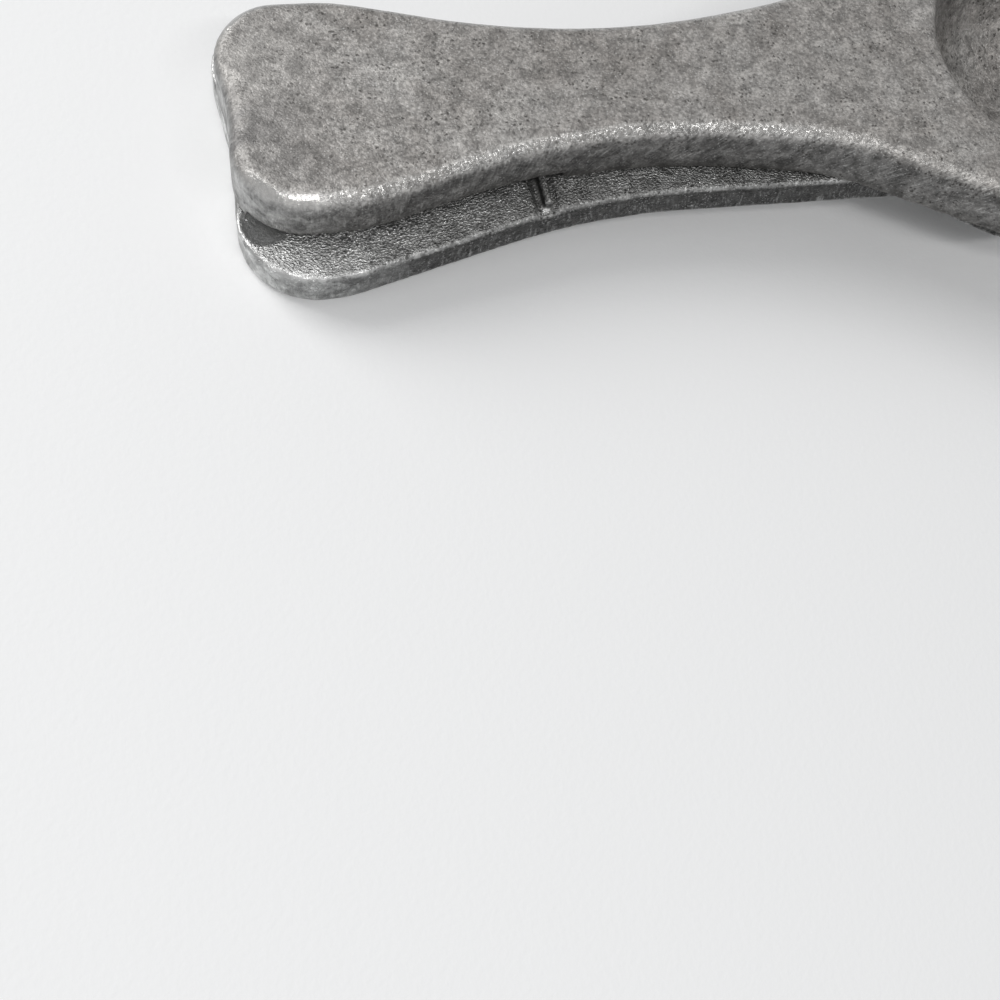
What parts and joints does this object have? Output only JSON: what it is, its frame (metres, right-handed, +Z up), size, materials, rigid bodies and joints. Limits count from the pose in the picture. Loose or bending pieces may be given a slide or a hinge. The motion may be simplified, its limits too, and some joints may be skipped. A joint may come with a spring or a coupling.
{
  "type": "lemon squeezer",
  "caption": "Cast-aluminium lemon squeezer lying closed: lower lever with slotted cup, narrower upper lever with press dome, pinned hinge at the head end.",
  "frame": {"origin": "middle of the plane that the closed squeezer rests on, under the middle of its outer box", "axes": "+X along the levers from the handle end towards the hinge, +Y across them, +Z up from the table"},
  "size_m": [0.2044, 0.074, 0.0372],
  "materials": {
    "cast_lower": "rough as-cast, dull, ground along its sides",
    "cast_upper": "worn matt casting with dark specks, ground along its sides",
    "pin_steel": "dull drawn steel with peened ends"
  },
  "bodies": {
    "lower": {"lower_lever": "cast_lower", "hinge_pin": "pin_steel"},
    "upper": {"upper_lever": "cast_upper"}
  },
  "joints": [
    {"name": "lever_hinge", "type": "hinge", "parent": "lower", "child": "upper", "pos_m": [0.09284, 0, 0.03108], "axis": [0, 1, 0], "range_deg": [0, 130]}
  ]
}
